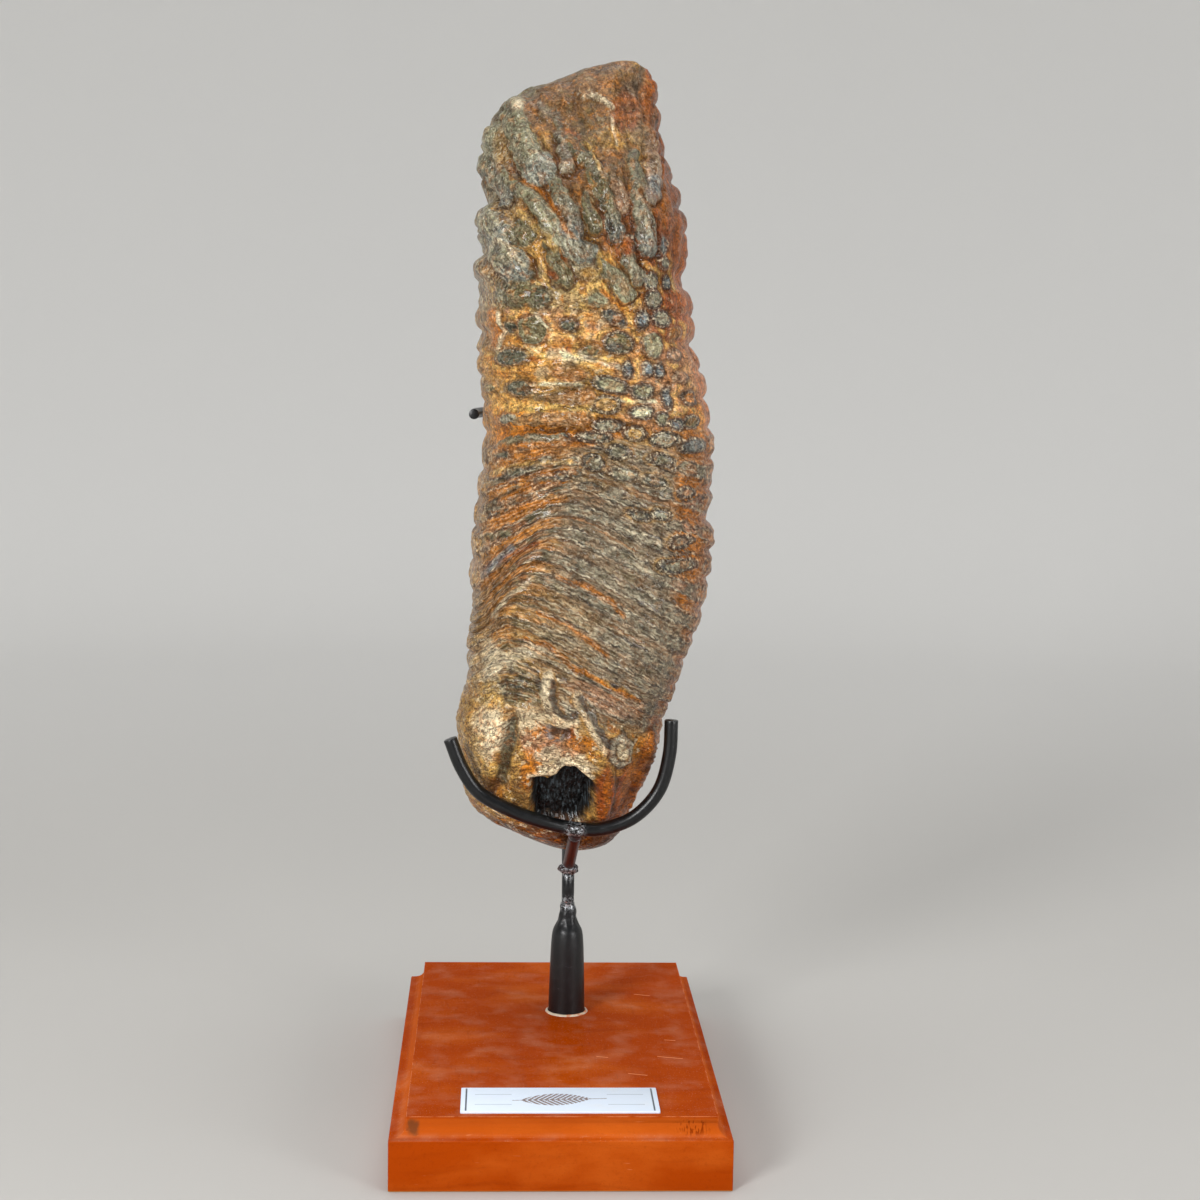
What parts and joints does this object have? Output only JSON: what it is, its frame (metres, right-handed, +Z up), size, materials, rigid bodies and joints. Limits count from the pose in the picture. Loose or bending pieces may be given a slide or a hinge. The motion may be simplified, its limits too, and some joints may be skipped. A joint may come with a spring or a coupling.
{
  "type": "mounted fossil mammoth molar",
  "caption": "Whole ridged mammoth molar standing on its worn end in a welded steel rod cradle, on a turned socket and a moulded wooden plinth with a blank card.",
  "frame": {"origin": "centre of the plinth's underside", "axes": "+Z up along the tooth, +Y to the back, away from the chewing face, +X to the right seen from the front"},
  "size_m": [0.12, 0.2, 0.4],
  "materials": {
    "stained_wood": "orange-brown stain under satin varnish",
    "label_card": "smooth white card",
    "dried_glue": "dull dried glue",
    "black_paint": "satin black paint",
    "fossil_tooth": "mineralised enamel, dentine and cement under clear lacquer"
  },
  "bodies": {
    "root": {"base_plinth": "stained_wood", "label_plate": "label_card", "foot_glue_bead": "dried_glue", "stem_socket": "black_paint", "spine_rod": "black_paint", "cradle_strut": "black_paint", "cradle_hoop": "black_paint", "back_arm": "black_paint", "molar": "fossil_tooth"}
  },
  "joints": []
}
